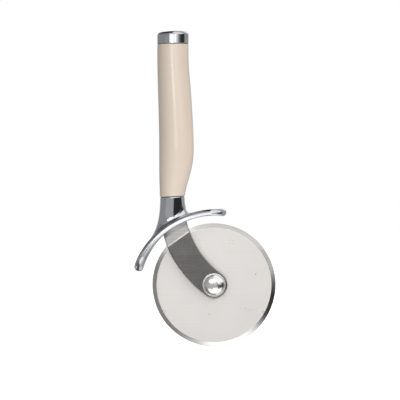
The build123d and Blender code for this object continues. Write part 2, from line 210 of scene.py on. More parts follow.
class Graph:
    """A small helper that builds one material's nodes."""

    def __init__(self, name):
        self.material = bpy.data.materials.new(name)
        self.material.use_nodes = True
        self.nodes = self.material.node_tree.nodes
        self.links = self.material.node_tree.links
        self.shader = self.nodes["Principled BSDF"]
        self.coordinates = self.nodes.new("ShaderNodeTexCoord").outputs["Object"]

    def link(self, source, target):
        self.links.new(source, target)

    def mapped(self, scale, turn):
        node = self.nodes.new("ShaderNodeMapping")
        node.inputs["Scale"].default_value = scale
        node.inputs["Rotation"].default_value = turn
        self.link(self.coordinates, node.inputs["Vector"])
        return node.outputs["Vector"]

    def noise(self, vector, scale, detail=2.0, roughness=0.5):
        node = self.nodes.new("ShaderNodeTexNoise")
        node.inputs["Scale"].default_value = scale
        node.inputs["Detail"].default_value = detail
        node.inputs["Roughness"].default_value = roughness
        self.link(vector, node.inputs["Vector"])
        return node.outputs["Fac"]

    def spread(self, source, low, high):
        node = self.nodes.new("ShaderNodeMapRange")
        node.inputs["From Min"].default_value = NOISE_LOW
        node.inputs["From Max"].default_value = NOISE_HIGH
        node.inputs["To Min"].default_value = low
        node.inputs["To Max"].default_value = high
        self.link(source, node.inputs["Value"])
        return node.outputs["Result"]

    def blended(self, source, dark, light):
        node = self.nodes.new("ShaderNodeValToRGB")
        node.color_ramp.elements[0].position = NOISE_LOW
        node.color_ramp.elements[1].position = NOISE_HIGH
        node.color_ramp.elements[0].color = (*dark, 1)
        node.color_ramp.elements[1].color = (*light, 1)
        self.link(source, node.inputs["Fac"])
        return node.outputs["Color"]

    def bump(self, source, height_mm):
        node = self.nodes.new("ShaderNodeBump")
        node.inputs["Strength"].default_value = 1.0
        node.inputs["Distance"].default_value = height_mm * MM
        self.link(source, node.inputs["Height"])
        self.link(node.outputs["Normal"], self.shader.inputs["Normal"])


def brushed_metal(name, dark, light, roughness, grain, turn=(0, 0, 0), metallic=1.0):
    """Metal with fine straight brush lines; grain is how many noise cells a metre holds across them."""
    graph = Graph(name)
    graph.shader.inputs["Metallic"].default_value = metallic
    lines = graph.noise(graph.mapped((1, 1, grain), turn), 1.0, BRUSH_DETAIL, BRUSH_HARSHNESS)
    cloud = graph.noise(graph.coordinates, BRUSHED_CLOUD)
    graph.link(graph.blended(lines, dark, light), graph.shader.inputs["Base Color"])
    uneven = graph.spread(cloud, roughness - GLOSS_SPREAD, roughness + GLOSS_SPREAD)
    graph.link(uneven, graph.shader.inputs["Roughness"])
    graph.bump(lines, BRUSH_DEPTH)
    return graph.material


def mirror_metal(name, dark, light, roughness):
    """Plated or polished metal: a little uneven in tone, with faint wipe marks in its gloss."""
    graph = Graph(name)
    graph.shader.inputs["Metallic"].default_value = 1.0
    tone = graph.noise(graph.coordinates, PLATING_CLOUD)
    wipe = graph.noise(graph.mapped(WIPE_STRETCH, WIPE_TURN), WIPE_GRAIN, WIPE_DETAIL)
    graph.link(graph.blended(tone, dark, light), graph.shader.inputs["Base Color"])
    uneven = graph.spread(wipe, roughness * WIPE_GLOSS[0], roughness * WIPE_GLOSS[1])
    graph.link(uneven, graph.shader.inputs["Roughness"])
    graph.bump(tone, PLATING_DEPTH)
    return graph.material


def moulded(name, dark, light, roughness, coat=0.0):
    """Moulded plastic or rubber with a faint skin texture."""
    graph = Graph(name)
    cloud = graph.noise(graph.coordinates, MOULDED_CLOUD)
    skin = graph.noise(graph.coordinates, SKIN_GRAIN, SKIN_DETAIL)
    graph.link(graph.blended(cloud, dark, light), graph.shader.inputs["Base Color"])
    uneven = graph.spread(skin, roughness - GLOSS_SPREAD, roughness + SKIN_SPREAD)
    graph.link(uneven, graph.shader.inputs["Roughness"])
    graph.shader.inputs["Coat Weight"].default_value = coat
    graph.shader.inputs["Coat Roughness"].default_value = COAT_ROUGHNESS
    graph.bump(skin, SKIN_DEPTH)
    return graph.material


# The disc's faces are half metallic, so that they take light from every side as finely brushed steel does.
BLADE_FACE = brushed_metal("blade_face_steel", (0.785, 0.750, 0.722), (0.825, 0.790, 0.762), 0.30, 900.0,
                           metallic=0.5)
BLADE_BEVEL = brushed_metal("blade_bevel_steel", (0.462, 0.449, 0.435), (0.518, 0.505, 0.491), 0.15, 900.0)
# The arms' dark base tone is painted shade: it stands in for the dark surroundings that the steel's brush
# lines reflect, while the brush lines themselves are real.
FORK = brushed_metal("fork_steel", (0.230, 0.222, 0.216), (0.290, 0.279, 0.271), 0.16, 1400.0,
                     turn=(0, -FORK_SWEEP, 0))
DOME = mirror_metal("dome_steel", (0.84, 0.825, 0.795), (0.88, 0.865, 0.835), 0.18)
GUARD = mirror_metal("guard_chrome", (0.655, 0.668, 0.70), (0.695, 0.708, 0.74), 0.06)
CAP = mirror_metal("cap_chrome", (0.61, 0.62, 0.64), (0.65, 0.66, 0.68), 0.05)
GRIP = moulded("grip_cream", (0.75, 0.635, 0.53), (0.77, 0.655, 0.55), 0.30, coat=1.0)
SEAL = moulded("seal_rubber", (0.012, 0.011, 0.010), (0.02, 0.019, 0.018), 0.6)
CAP_SEAL = moulded("cap_seal_rubber", (0.10, 0.094, 0.088), (0.13, 0.123, 0.115), 0.6)
CORE = moulded("core_plastic", (0.06, 0.057, 0.053), (0.08, 0.076, 0.07), 0.5)
BRASS = brushed_metal("bush_brass", (0.50, 0.36, 0.13), (0.58, 0.43, 0.18), 0.3, 3000.0)
STEEL = brushed_metal("plain_steel", (0.42, 0.42, 0.41), (0.50, 0.50, 0.49), 0.3, 2000.0)

NODE_MATERIALS = {
    "blade": BLADE_FACE, "front_fork_arm": FORK, "rear_fork_arm": FORK, "front_axle_dome": DOME,
    "rear_axle_dome": DOME, "guard_bolster": GUARD, "handle_grip": GRIP, "end_cap_shell": CAP,
    "front_hub_bush": BRASS, "rear_hub_bush": BRASS, "front_spacer_washer": STEEL,
    "rear_spacer_washer": STEEL, "axle_barrel": STEEL, "axle_screw": STEEL, "tang_rod": STEEL,
    "tang_rivets": STEEL, "handle_dowels": STEEL, "tie_washer": STEEL, "lock_washer": STEEL,
    "tie_nut": STEEL, "handle_core": CORE, "end_cap_plug": CORE, "bolster_gasket": SEAL,
    "cap_seal_ring": CAP_SEAL,
}


def dress_nodes():
    """Give every CAD node its own material."""
    for name, material in NODE_MATERIALS.items():
        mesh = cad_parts[name].data
        mesh.materials.clear()
        mesh.materials.append(material)


dress_nodes()


# ---- wheel ----

DISC_SEGMENTS = 360
EDGE_HALF = 0.12
BEVEL_WIDTH = 3.0
BORE_RADIUS = 4.5
FACE_HOLD = 0.4
BORE_EASE = 0.05
SHOULDER_EASE = 0.3
EDGE_EASE = 0.04


def make_blade():
    """The disc: flat faces, then a ground bevel on both sides down to a narrow edge."""
    shoulder = BLADE_RADIUS - BEVEL_WIDTH
    drop = FACE_HOLD * (BLADE_HALF - EDGE_HALF) / BEVEL_WIDTH
    corners = [(BORE_RADIUS, -BLADE_HALF, BORE_EASE), (BORE_RADIUS + FACE_HOLD, -BLADE_HALF, 0),
               (shoulder - FACE_HOLD, -BLADE_HALF, 0), (shoulder, -BLADE_HALF, SHOULDER_EASE),
               (shoulder + FACE_HOLD, drop - BLADE_HALF, 0), (BLADE_RADIUS - FACE_HOLD, -EDGE_HALF - drop, 0),
               (BLADE_RADIUS, -EDGE_HALF, EDGE_EASE)]
    corners += [(radius, -y, rounding) for radius, y, rounding in reversed(corners)]
    outline = eased(corners)
    face_material = []
    for point, following in zip(outline, outline[1:] + outline[:1]):
        on_bevel = (point.x + following.x) / 2 > shoulder
        face_material += [int(on_bevel)] * DISC_SEGMENTS
    mesh_piece("blade_disc", turned_rings(outline, DISC_SEGMENTS),
               ring_faces(len(outline), DISC_SEGMENTS, closed=True), [BLADE_FACE, BLADE_BEVEL], "wheel",
               ["blade"], face_material)


make_blade()


# ---- axle domes ----

DOME_SEGMENTS = 128
DOME_RINGS = 36
DOME_FLANGE = 1.2
DOME_STEP = 0.8
DOME_EASE = 0.22
DOME_INNER = 3.0
RIM_EASE = 0.05
CROWN_GAP = 0.25
CROWN_FOOT_EASE = 0.12
CROWN_FULLNESS = 2.6
CROWN_ROUNDING = 0.7


def make_dome(name, node, side):
    """A polished dome inside a flat stepped rim; side is -1 for the front and 1 for the rear."""
    crown_radius = DOME_RADIUS - DOME_FLANGE
    step_face = FORK_FACE + DOME_STEP
    rise = DOME_TOP - step_face
    seat = FORK_FACE + DOME_STEP / 2
    outline = eased([(DOME_INNER, side * seat, 0), (DOME_INNER, side * FORK_FACE, 0),
                     (DOME_RADIUS, side * FORK_FACE, RIM_EASE), (DOME_RADIUS, side * step_face, DOME_EASE),
                     (crown_radius + CROWN_GAP, side * step_face, CROWN_FOOT_EASE)])
    for index in range(DOME_RINGS):
        share = math.cos(math.pi / 2 * index / DOME_RINGS)
        height = rise * (1 - share ** CROWN_FULLNESS) ** CROWN_ROUNDING
        outline.append(Vector((crown_radius * share, side * (step_face + height))))
    points = turned_rings(outline, DOME_SEGMENTS) + [(0, side * DOME_TOP, 0), (0, side * seat, 0)]
    tip, floor = len(points) - 2, len(points) - 1
    faces = ring_faces(len(outline), DOME_SEGMENTS)
    faces += fan_faces(tip - DOME_SEGMENTS, DOME_SEGMENTS, tip)
    faces += fan_faces(0, DOME_SEGMENTS, floor)
    mesh_piece(name, points, faces, [DOME], "frame", [node])


make_dome("front_dome", "front_axle_dome", -1)
make_dome("rear_dome", "rear_axle_dome", 1)


# ---- fork arms ----

FORK_END = 9.65
FORK_BACK_RADIUS = 87.0
FORK_FRONT_RADIUS = 66.0
BEND_BACK = Vector((-34.4, 27.7))
BEND_FRONT = Vector((-17.3, 40.0))
FACET_FRONT = [(-18.6, 41.0), (-19.8, 45.2), (-20.6, 50.6)]
FACET_BACK = [(-38.9, 42.4)]
SHEET = 1.5
JOGGLE_DROP = 2.2
JOGGLE_RUN = 10.0
BEND_SOFTNESS = 0.9
ARM_EASE = 0.5
ARM_EASE_STEPS = 3
ARM_EASE_ANGLE = math.radians(50)
ARM_CREASE = 40
MERGE_DISTANCE = 1e-5
BACK_STEPS = 28
END_STEPS = 36
FRONT_STEPS = 26


def polar(radius, angle, centre=(0.0, 0.0)):
    """A point at a radius and angle about a centre, seen from the front."""
    return Vector((centre[0] + radius * math.cos(angle), centre[1] + radius * math.sin(angle)))


def arc_points(centre, radius, start, end, steps):
    """Points along an arc, both ends included."""
    return [polar(radius, start + (end - start) * step / steps, centre) for step in range(steps + 1)]


def bearing_of(point, centre):
    """The angle of a point about a centre, from 0 to a full turn."""
    return math.atan2(point.y - centre.y, point.x - centre.x) % FULL_TURN


def fork_outline():
    """The arm's edge seen from the front, from the bend's back corner round the axle to the front corner."""
    back_centre = polar(FORK_BACK_RADIUS - FORK_END, FORK_SWEEP)
    front_centre = polar(FORK_FRONT_RADIUS + FORK_END, FORK_SWEEP)
    low = FORK_SWEEP + math.pi
    back = arc_points(back_centre, FORK_BACK_RADIUS, bearing_of(BEND_BACK, back_centre), low, BACK_STEPS)
    end = arc_points(Vector((0, 0)), FORK_END, low, low + math.pi, END_STEPS)
    front_turn = bearing_of(BEND_FRONT, front_centre)
    front = arc_points(front_centre, FORK_FRONT_RADIUS, low, front_turn, FRONT_STEPS)
    top = [Vector(point) for point in FACET_FRONT + FACET_BACK]
    return back[:-1] + end[:-1] + front + top


def sheet_face(distance):
    """How far the arm's outer face stands from the mid-plane, by distance above the bend line."""
    slope = JOGGLE_DROP / JOGGLE_RUN

    def ramp(value):
        soft = BEND_SOFTNESS
        if value <= -soft:
            return 0.0
        if value >= soft:
            return value
        return (value + soft) ** 2 / (4 * soft)

    return FORK_FACE - slope * (ramp(distance) - ramp(distance - JOGGLE_RUN))


def arm_mesh(name, side):
    """The outline cut along the bends, pushed out to the sheet's face, then given its thickness."""
    middle = (BEND_BACK + BEND_FRONT) / 2
    along = (BEND_FRONT - BEND_BACK).normalized()
    above = Vector((-along.y, along.x))
    work = bmesh.new()
    work.faces.new([work.verts.new((point.x, 0, point.y)) for point in fork_outline()])
    cuts = [-BEND_SOFTNESS, -BEND_SOFTNESS / 2, 0, BEND_SOFTNESS / 2, BEND_SOFTNESS,
            JOGGLE_RUN - BEND_SOFTNESS, JOGGLE_RUN, JOGGLE_RUN + BEND_SOFTNESS]
    for cut in cuts:
        place = middle + above * cut
        bmesh.ops.bisect_plane(work, geom=work.verts[:] + work.edges[:] + work.faces[:],
                               dist=MERGE_DISTANCE, plane_co=(place.x, 0, place.y),
                               plane_no=(above.x, 0, above.y))
    outer_faces = list(work.faces)
    rim = [edge for edge in work.edges if edge.is_boundary]
    inner = {}
    for vertex in list(work.verts):
        distance = (Vector((vertex.co.x, vertex.co.z)) - middle).dot(above)
        outside = sheet_face(distance)
        vertex.co.y = side * outside
        inner[vertex] = work.verts.new((vertex.co.x, side * (outside - SHEET), vertex.co.z))
    for edge in rim:
        first, second = edge.verts
        work.faces.new((first, second, inner[second], inner[first]))
    for face in outer_faces:
        work.faces.new([inner[vertex] for vertex in reversed(face.verts)])
    bmesh.ops.recalc_face_normals(work, faces=work.faces)
    mesh = bpy.data.meshes.new(name)
    work.to_mesh(mesh)
    work.free()
    mesh.transform(metre_matrix())
    mesh.materials.append(FORK)
    return mesh


def make_arm(name, node, side):
    """A sheet arm with rounded edges and a soft joggle; side is -1 for the front and 1 for the rear."""
    piece = bpy.data.objects.new(name, arm_mesh(name, side))
    bpy.context.scene.collection.objects.link(piece)
    bevel = piece.modifiers.new("eased_edges", "BEVEL")
    bevel.width = ARM_EASE * MM
    bevel.segments = ARM_EASE_STEPS
    bevel.limit_method = "ANGLE"
    bevel.angle_limit = ARM_EASE_ANGLE
    shade(piece, ARM_CREASE)
    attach(piece, "frame")
    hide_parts(node)


make_arm("front_arm", "front_fork_arm", -1)
make_arm("rear_arm", "rear_fork_arm", 1)


# ---- guard and bolster ----

GUARD_CENTRE = (2.4, -10.5)
GUARD_RADIUS = 63.6
GUARD_THICKNESS = 4.6
GUARD_TIP_THICKNESS = 6.1
GUARD_HALF_DEPTH = 12.0
GUARD_FRONT = math.radians(84.0)
GUARD_BACK = math.radians(160.6)
GUARD_TIP_REACH = 14.0
GUARD_BACK_SWELL = 2.1
SWELL_START = 0.05
SWELL_RUN = 0.8
GUARD_BACK_CURL = 1.0
CURL_START = 0.68
GUARD_ROWS = 150
GUARD_CREASE = 60
GUARD_LAST_PLACE = 0.9985
GUARD_TIP_PLACE = 0.9999
TIP_CROWDING = 0.75

# The bar's section: corner radii as shares of its thickness, and how far in the swell reaches full depth.
BAR_TOP_CORNER = 0.62
BAR_FOOT_CORNER = 0.36
BAR_LEAST_DEPTH = 1.02
BAR_CORNER_STEPS = 9
BAR_FLAT_STEPS = 8
SWELL_INSET = 0.5
SWELL_SIDE_RUN = 4.5


def smooth_step(value):
    """A rise from 0 to 1 that starts and ends level."""
    value = min(1.0, max(0.0, value))
    return value * value * (3 - 2 * value)


def rounded_end(distance, radius):
    """The share of full size at a distance from a half-round end."""
    return math.sqrt(1 - max(0.0, 1 - distance / radius) ** 2)


def guard_measure(place):
    """Bar thickness, swell, half depth and radius at a place, from -1 at the front tip to 1 at the back."""
    half_span = (GUARD_BACK - GUARD_FRONT) / 2
    from_tip = (1 - abs(place)) * half_span * GUARD_RADIUS
    nose = rounded_end(from_tip, GUARD_TIP_THICKNESS / 2)
    tip_swell = 0.0
    if place < 0:
        tip_share = max(0.0, 1 - from_tip / GUARD_TIP_REACH)
        tip_swell = (GUARD_TIP_THICKNESS - GUARD_THICKNESS) * tip_share ** 2
    back_swell = GUARD_BACK_SWELL * smooth_step((place - SWELL_START) / SWELL_RUN)
    curl = GUARD_BACK_CURL * (max(0.0, place - CURL_START) / (1 - CURL_START)) ** 2
    depth = GUARD_HALF_DEPTH * rounded_end(from_tip, GUARD_HALF_DEPTH)
    middle = GUARD_RADIUS - curl - (back_swell / 2) * (1 - nose)
    return (GUARD_THICKNESS + tip_swell) * nose, back_swell * nose, depth, middle


def bar_outline(thickness, swell, depth):
    """The guard's section as (y, radial) points: full above, crisper below, with a keel between its edges."""
    high, low = BAR_TOP_CORNER * thickness, BAR_FOOT_CORNER * thickness
    depth = max(depth, BAR_LEAST_DEPTH * high)
    top_edge, foot_edge = depth - high, depth - low
    turns = [math.pi / 2 * step / BAR_CORNER_STEPS for step in range(BAR_CORNER_STEPS + 1)]
    front = [(top_edge + high * math.sin(turn), thickness / 2 - high + high * math.cos(turn))
             for turn in turns]
    front += [(foot_edge + low * math.cos(turn), low - thickness / 2 - low * math.sin(turn))
              for turn in turns]
    shares = [2 * step / BAR_FLAT_STEPS - 1 for step in range(1, BAR_FLAT_STEPS)]
    top = [(top_edge * share, thickness / 2) for share in shares]
    foot = [(-foot_edge * share, -thickness / 2) for share in shares]
    outline = []
    for y, radial in top + front + foot + [(-y, radial) for y, radial in reversed(front)]:
        keel = smooth_step((depth - SWELL_INSET * low - abs(y)) / SWELL_SIDE_RUN)
        outline.append((y, radial - swell * keel if radial < 0 else radial))
    return outline


def guard_shell():
    """Rings of a rounded bar along the guard's arc, closer together at its tips and closed there."""
    middle = (GUARD_FRONT + GUARD_BACK) / 2
    half_span = (GUARD_BACK - GUARD_FRONT) / 2
    points = []
    for row in range(GUARD_ROWS):
        even = 2 * (row + 0.5) / GUARD_ROWS - 1
        place = (1 - TIP_CROWDING) * even + TIP_CROWDING * math.sin(math.pi / 2 * even)
        place = max(-GUARD_LAST_PLACE, min(GUARD_LAST_PLACE, place))
        thickness, swell, depth, radius = guard_measure(place)
        for y, radial in bar_outline(thickness, swell, depth):
            point = polar(radius + radial, middle + half_span * place, GUARD_CENTRE)
            points.append((point.x, y, point.y))
    columns = len(points) // GUARD_ROWS
    faces = ring_faces(GUARD_ROWS, columns)
    for first, end in ((0, -1.0), (len(points) - columns, 1.0)):
        point = polar(guard_measure(GUARD_TIP_PLACE * end)[3], middle + half_span * end, GUARD_CENTRE)
        points.append((point.x, 0, point.y))
        faces += fan_faces(first, columns, len(points) - 1)
    return points, faces


NECK_HALF_WIDTH = 8.89
NECK_HALF_DEPTH = 8.85
FOOT_FRONT = math.radians(105.5)
FOOT_BACK = math.radians(139.5)
FOOT_HALF_DEPTH = 10.6

BOLSTER_COLUMNS = 96
BOLSTER_ROWS = 44
FOOT_SINK = 0.02
ROOT_SINK = 2.0
ROOT_INSET = 0.12
NECK_EASE = 0.25

# How far the bolster's curves run on along the guard and hang below the neck: front, back and sides.
FRONT_REACH, BACK_REACH, SIDE_REACH = 4.5, 9.5, 4.2
FRONT_FALL, BACK_FALL, SIDE_FALL = 9.0, 14.0, 12.0

# The joint's plane climbs forward: the ways along it and square to it.
JOINT_ACROSS = Vector((math.cos(PARTING_TILT), 0, math.sin(PARTING_TILT)))
JOINT_UP = Vector((-math.sin(PARTING_TILT), 0, math.cos(PARTING_TILT)))
JOINT_CENTRE = Vector((PARTING[0], 0, PARTING[1]))


def joint_oval(inset, c, s):
    """From the joint's centre to the neck's oval, drawn in by an inset, at an angle's cosine and sine."""
    return JOINT_ACROSS * ((NECK_HALF_WIDTH - inset) * c) + Vector((0, (NECK_HALF_DEPTH - inset) * s, 0))


def bolster_curve(angle):
    """Points up the bolster's side, leaving the guard's top tangentially and rising to the joint."""
    c, s = math.cos(angle), math.sin(angle)
    outer = GUARD_RADIUS + GUARD_THICKNESS / 2
    foot_half = (FOOT_BACK - FOOT_FRONT) / 2
    turn = (FOOT_FRONT + FOOT_BACK) / 2 - foot_half * c
    flat = polar(outer - FOOT_SINK, turn, GUARD_CENTRE)
    foot = Vector((flat.x, FOOT_HALF_DEPTH * s, flat.y))
    tangent = Vector((-math.sin(turn), 0, math.cos(turn))) * c * foot_half * outer
    tangent += Vector((0, -FOOT_HALF_DEPTH * s, 0))
    tangent.normalize()
    neck = JOINT_CENTRE - JOINT_UP * GASKET_HALF + joint_oval(0, c, s)
    reach = SIDE_REACH * s * s + (FRONT_REACH if c > 0 else BACK_REACH) * c * c
    fall = SIDE_FALL * s * s + (FRONT_FALL if c > 0 else BACK_FALL) * c * c
    first, second = foot + tangent * reach, neck - Vector((0, 0, fall))
    curve = []
    for row in range(BOLSTER_ROWS):
        t = row / (BOLSTER_ROWS - 1)
        curve.append(foot * (1 - t) ** 3 + first * 3 * t * (1 - t) ** 2 + second * 3 * t * t * (1 - t)
                     + neck * t ** 3)
    return curve


def bolster_shell():
    """The bolster's rings, from a root inside the guard up to an eased rim at the joint."""
    curves = [bolster_curve(FULL_TURN * column / BOLSTER_COLUMNS) for column in range(BOLSTER_COLUMNS)]
    rings = [list(ring) for ring in zip(*curves)]
    foot_middle = (FOOT_FRONT + FOOT_BACK) / 2
    root = polar(GUARD_RADIUS + GUARD_THICKNESS / 2 - ROOT_SINK, foot_middle, GUARD_CENTRE)
    inside = [point.lerp(Vector((root.x, 0, root.y)), ROOT_INSET) for point in rings[0]]
    neck_centre = JOINT_CENTRE - JOINT_UP * GASKET_HALF
    rim = [point + (neck_centre - point).normalized() * NECK_EASE for point in rings[-1]]
    rings[-1] = [point - JOINT_UP * NECK_EASE for point in rings[-1]]
    rings = [inside] + rings + [rim]
    points = [tuple(point) for ring in rings for point in ring]
    faces = ring_faces(len(rings), BOLSTER_COLUMNS)
    faces.append(tuple(range(BOLSTER_COLUMNS)))
    faces.append(tuple(range(len(points) - BOLSTER_COLUMNS, len(points))))
    return points, faces


def make_guard():
    """The guard and bolster as one chromed piece."""
    guard_points, guard_faces = guard_shell()
    bolster_points, bolster_faces = bolster_shell()
    offset = len(guard_points)
    faces = guard_faces + [tuple(index + offset for index in face) for face in bolster_faces]
    piece = mesh_piece("guard_and_bolster", guard_points + bolster_points, faces, [GUARD], "frame",
                       ["guard_bolster"])
    shade(piece, GUARD_CREASE)


make_guard()


# ---- handle ----

# Handle outline, evenly spaced from below the parting to the cap: back edge, front edge, half depth.
HANDLE_STEP = 12.0
HANDLE_SECTIONS = [
    (-39.25, -21.75, 8.70), (-39.70, -20.85, 9.10), (-40.00, -17.70, 9.95), (-40.08, -15.20, 10.75),
    (-40.10, -14.90, 11.05), (-40.28, -15.30, 11.15), (-40.58, -15.98, 11.22), (-40.90, -16.75, 11.28),
    (-41.24, -17.75, 11.33), (-41.47, -18.58, 11.36), (-41.45, -18.65, 11.38)]
SHELL_WALL = 2.5
GRIP_COLUMNS = 128
GRIP_ROWS = 110
GRIP_EASE = 0.6
GRIP_EASE_STEPS = 6
GRIP_CREASE = 50
INSIDE_ROWS = 4
LEVEL_PASSES = 3


def natural_spline(values, spacing):
    """A smooth curve through evenly spaced values, as a function of distance from the first."""
    count = len(values)
    matrix = np.eye(count)
    right = np.zeros(count)
    for index in range(1, count - 1):
        matrix[index, index - 1:index + 2] = (1, 4, 1)
        right[index] = 6 * (values[index - 1] - 2 * values[index] + values[index + 1]) / spacing ** 2
    bend = np.linalg.solve(matrix, right)

    def curve(distance):
        index = min(count - 2, max(0, int(distance / spacing)))
        b = distance / spacing - index
        a = 1 - b
        return (a * values[index] + b * values[index + 1]
                + ((a ** 3 - a) * bend[index] + (b ** 3 - b) * bend[index + 1]) * spacing ** 2 / 6)

    return curve


def handle_ring(height, inset, columns):
    """An oval ring of the handle whose plane tilts from the parting's slope to level at the cap."""
    top = GRIP_TOP
    bottom = top - HANDLE_STEP * (len(HANDLE_SECTIONS) - 1)
    ring = []
    for column in range(columns):
        angle = FULL_TURN * column / columns
        level = height
        for _ in range(LEVEL_PASSES):
            back, front, depth = (curve(level - bottom) for curve in HANDLE_CURVES)
            x = (back + front) / 2 + ((front - back) / 2 - inset) * math.cos(angle)
            share = (top - height) / (top - PARTING[1])
            level = height + share * math.tan(PARTING_TILT) * (x - PARTING[0])
        ring.append((x, (depth - inset) * math.sin(angle), level))
    return ring


HANDLE_CURVES = [natural_spline(edge, HANDLE_STEP) for edge in zip(*HANDLE_SECTIONS)]


def make_grip():
    """The cream shell, open at both ends, with softly rounded rims."""
    low, high = PARTING[1] + GASKET_HALF, GRIP_TOP
    turns = [math.pi / 2 * step / GRIP_EASE_STEPS for step in range(GRIP_EASE_STEPS + 1)]
    rim = [(GRIP_EASE * (1 - math.sin(turn)), GRIP_EASE * (1 - math.cos(turn))) for turn in turns]
    side = high - low - 2 * GRIP_EASE
    path = [(low, SHELL_WALL)]
    path += [(low + height, inset) for height, inset in reversed(rim)]
    path += [(low + GRIP_EASE + side * row / GRIP_ROWS, 0.0) for row in range(1, GRIP_ROWS)]
    path += [(high - height, inset) for height, inset in rim]
    path += [(high + (low - high) * row / INSIDE_ROWS, SHELL_WALL) for row in range(INSIDE_ROWS)]
    points = [point for height, inset in path for point in handle_ring(height, inset, GRIP_COLUMNS)]
    faces = ring_faces(len(path), GRIP_COLUMNS, closed=True)
    piece = mesh_piece("grip_shell", points, faces, [GRIP], "frame", ["handle_grip"])
    shade(piece, GRIP_CREASE)


make_grip()


SEAL_COLUMNS = 96
SEAL_WALL = 5.0
SEAL_INSET = 0.45
SEAL_BULGE = 0.1


def make_gasket():
    """The thin dark seal in the joint between bolster and handle."""
    outline = [(-GASKET_HALF, SEAL_WALL), (-GASKET_HALF, SEAL_INSET), (0.0, SEAL_INSET - SEAL_BULGE),
               (GASKET_HALF, SEAL_INSET), (GASKET_HALF, SEAL_WALL)]
    points = []
    for height, inset in outline:
        for column in range(SEAL_COLUMNS):
            angle = FULL_TURN * column / SEAL_COLUMNS
            oval = joint_oval(inset, math.cos(angle), math.sin(angle))
            points.append(tuple(JOINT_CENTRE + JOINT_UP * height + oval))
    faces = ring_faces(len(outline), SEAL_COLUMNS, closed=True)
    mesh_piece("joint_seal", points, faces, [SEAL], "frame", ["bolster_gasket"])


make_gasket()


# ---- end cap ----

CAP_CROWN = 70.0
CAP_SHIFT = 3.5
CAP_SHOULDER = 2.6
CAP_WALL = 0.8
CAP_COLUMNS = 128
CAP_DEPTH = 5.0
CAP_CREASE = 50
CAP_BAND_LOW = 0.35
BAND_STEPS = 6
SHOULDER_STEPS = 14
CROWN_STEPS = 14
# The band's lower rim, as insets from the band and heights above the joint.
CAP_RIM = [(CAP_WALL, CAP_DEPTH), (CAP_WALL, 0.0), (0.2, 0.0), (0.06, 0.06), (0.0, 0.2), (0.0, CAP_BAND_LOW)]


def crown_height(x, y):
    """The height of the cap's crown, a shallow sphere with its top ahead of the cap's middle."""
    return CAP_HIGH.z - CAP_CROWN + math.sqrt(CAP_CROWN ** 2 - (x - CAP_SHIFT) ** 2 - y * y)


def cap_profile(angle):
    """Radii and heights up the cap's side at an angle: rim, plain band, rounded shoulder and crown."""
    c, s = math.cos(angle), math.sin(angle)
    inner = CAP_RADIUS - CAP_SHOULDER
    slope = math.atan(-(inner - CAP_SHIFT * c) / CAP_CROWN)
    tangent = inner + CAP_SHOULDER * math.sin(-slope)
    centre = crown_height(tangent * c, tangent * s) - CAP_SHOULDER * math.cos(slope)
    band_low = CAP_LOW.z + CAP_BAND_LOW
    profile = [(CAP_RADIUS - inset, CAP_LOW.z + height) for inset, height in CAP_RIM]
    for step in range(1, BAND_STEPS + 1):
        profile.append((CAP_RADIUS, band_low + (centre - band_low) * step / BAND_STEPS))
    for step in range(1, SHOULDER_STEPS + 1):
        turn = (math.pi / 2 + slope) * step / SHOULDER_STEPS
        profile.append((inner + CAP_SHOULDER * math.cos(turn), centre + CAP_SHOULDER * math.sin(turn)))
    for step in range(1, CROWN_STEPS + 1):
        radius = tangent * (1 - step / (CROWN_STEPS + 1))
        profile.append((radius, crown_height(radius * c, radius * s)))
    return profile


def make_cap():
    """A drawn cap: plain band, rounded shoulder and a shallow crown that leans forward."""
    sides = []
    for column in range(CAP_COLUMNS):
        angle = FULL_TURN * column / CAP_COLUMNS
        sides.append([(CAP_X + radius * math.cos(angle), radius * math.sin(angle), height)
                      for radius, height in cap_profile(angle)])
    rings = list(zip(*sides))
    points = [point for ring in rings for point in ring]
    faces = ring_faces(len(rings), CAP_COLUMNS)
    faces += fan_faces(len(points) - CAP_COLUMNS, CAP_COLUMNS, len(points))
    faces.append(tuple(range(CAP_COLUMNS)))
    points.append((CAP_X, 0, crown_height(0, 0)))
    piece = mesh_piece("cap_shell", points, faces, [CAP], "frame", ["end_cap_shell"])
    shade(piece, CAP_CREASE)


make_cap()


# ---- studio ----

CAMERA_X = -10.24
CAMERA_Z = 62.05
CAMERA_DISTANCE = 2500.0
VIEW_WIDTH = 292.7
CAMERA_REACH = 20


def make_camera():
    """A level camera far in front, looking along the axle."""
    data = bpy.data.cameras.new("camera")
    data.lens = data.sensor_width * CAMERA_DISTANCE / VIEW_WIDTH
    data.clip_end = CAMERA_REACH
    camera = bpy.data.objects.new("camera", data)
    camera.location = AXLE + Vector((CAMERA_X, -CAMERA_DISTANCE, CAMERA_Z)) * MM
    camera.rotation_euler = (math.radians(90), 0, 0)
    bpy.context.scene.collection.objects.link(camera)
    bpy.context.scene.camera = camera


FLOOR_HALF = 6.0
FLOOR_DARK = (0.93, 0.93, 0.93)
FLOOR_LIGHT = (0.95, 0.95, 0.95)
FLOOR_ROUGHNESS = 0.9
FLOOR_CLOUD = 3.0
FLOOR_GLOW = 0.60


